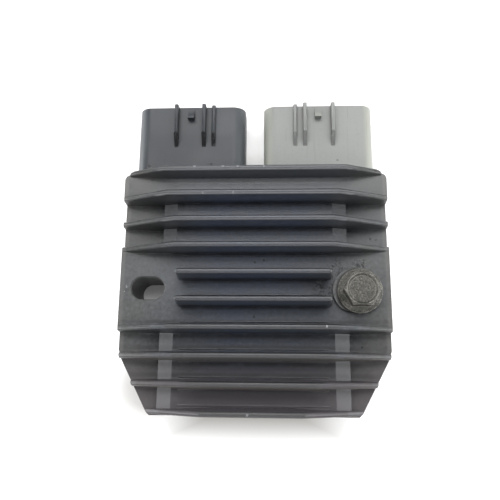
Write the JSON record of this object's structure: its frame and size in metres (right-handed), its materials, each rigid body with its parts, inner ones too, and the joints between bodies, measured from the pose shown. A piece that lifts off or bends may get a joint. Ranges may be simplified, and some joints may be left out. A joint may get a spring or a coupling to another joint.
{
  "type": "voltage regulator rectifier",
  "caption": "Finned die-cast voltage regulator rectifier with black and grey plug sockets on one edge, a slotted ear, and a flange bolt and washer in the other ear.",
  "frame": {"origin": "under the middle of the whole unit, on its back plane", "axes": "+X to the right with the sockets up, +Y towards the sockets, +Z from the back plane out of the fins"},
  "size_m": [0.101, 0.1208, 0.03],
  "materials": {
    "casting_paint": "satin",
    "black_plastic": "satin",
    "grey_plastic": "satin",
    "tinned_brass": "satin",
    "board_laminate": "satin",
    "ceramic": "matte",
    "device_pack": "matte",
    "capacitor_can": "satin",
    "resin": "satin",
    "bolt_steel": "satin",
    "washer_steel": "matte"
  },
  "bodies": {
    "root": {"heat_sink": "casting_paint", "dc_socket": "black_plastic", "ac_socket": "grey_plastic", "dc_blade_1": "tinned_brass", "dc_blade_2": "tinned_brass", "dc_blade_3": "tinned_brass", "ac_blade_1": "tinned_brass", "ac_blade_2": "tinned_brass", "ac_blade_3": "tinned_brass", "circuit_board": "board_laminate", "insulating_sheet": "ceramic", "power_device_1": "device_pack", "power_device_2": "device_pack", "power_device_3": "device_pack", "power_device_4": "device_pack", "power_device_5": "device_pack", "power_device_6": "device_pack", "control_chip": "device_pack", "capacitor_1": "capacitor_can", "capacitor_2": "capacitor_can", "chip_resistors": "device_pack", "diodes": "device_pack", "potting": "resin", "mounting_bolt": "bolt_steel", "washer": "washer_steel"}
  },
  "joints": []
}
